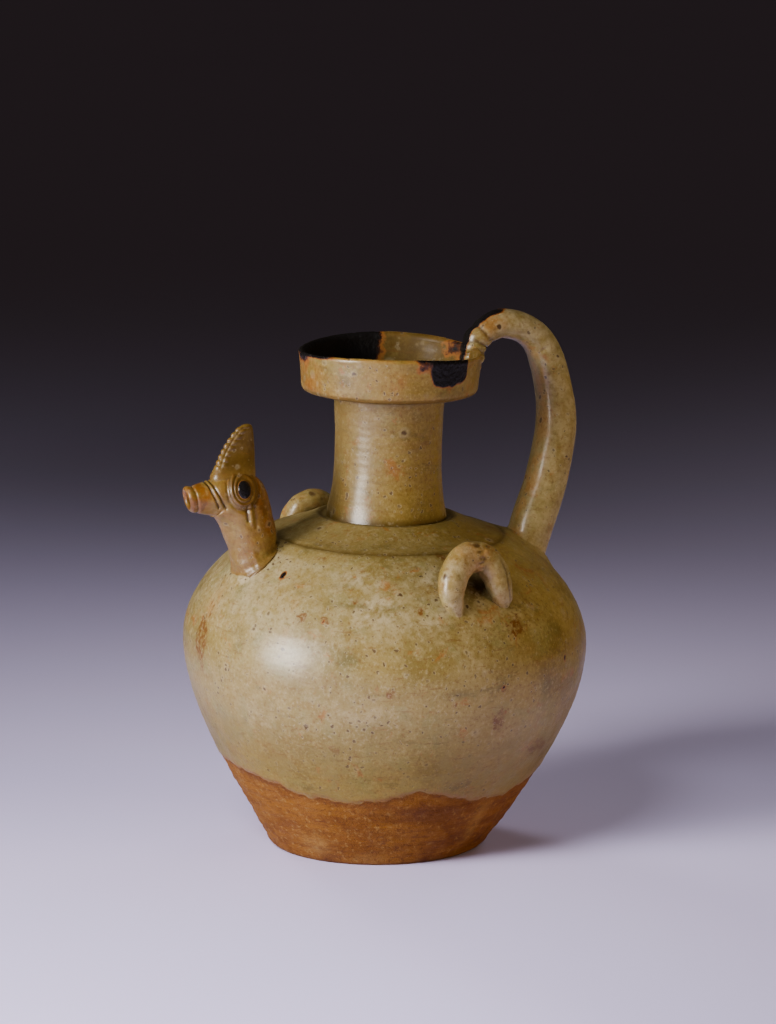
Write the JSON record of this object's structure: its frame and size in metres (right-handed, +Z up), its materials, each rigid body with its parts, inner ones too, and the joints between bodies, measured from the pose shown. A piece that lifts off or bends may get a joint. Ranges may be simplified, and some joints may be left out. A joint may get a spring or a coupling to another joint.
{
  "type": "chicken-head ewer",
  "caption": "Glazed stoneware ewer: round shouldered body on a flat foot, dish mouth on a waisted neck, tall loop handle, bird-head spout and arched shoulder lugs.",
  "frame": {"origin": "centre of the flat underside of the foot", "axes": "+Z up along the pot, -X toward the bird-head spout, +X toward the handle, +Y and -Y toward the two lugs"},
  "size_m": [0.1605, 0.1536, 0.2017],
  "materials": {
    "glaze": "olive celadon glaze over grey-orange stoneware, soft sheen, bare rust-orange foot"
  },
  "bodies": {
    "root": {"ewer": "glaze"}
  },
  "joints": []
}
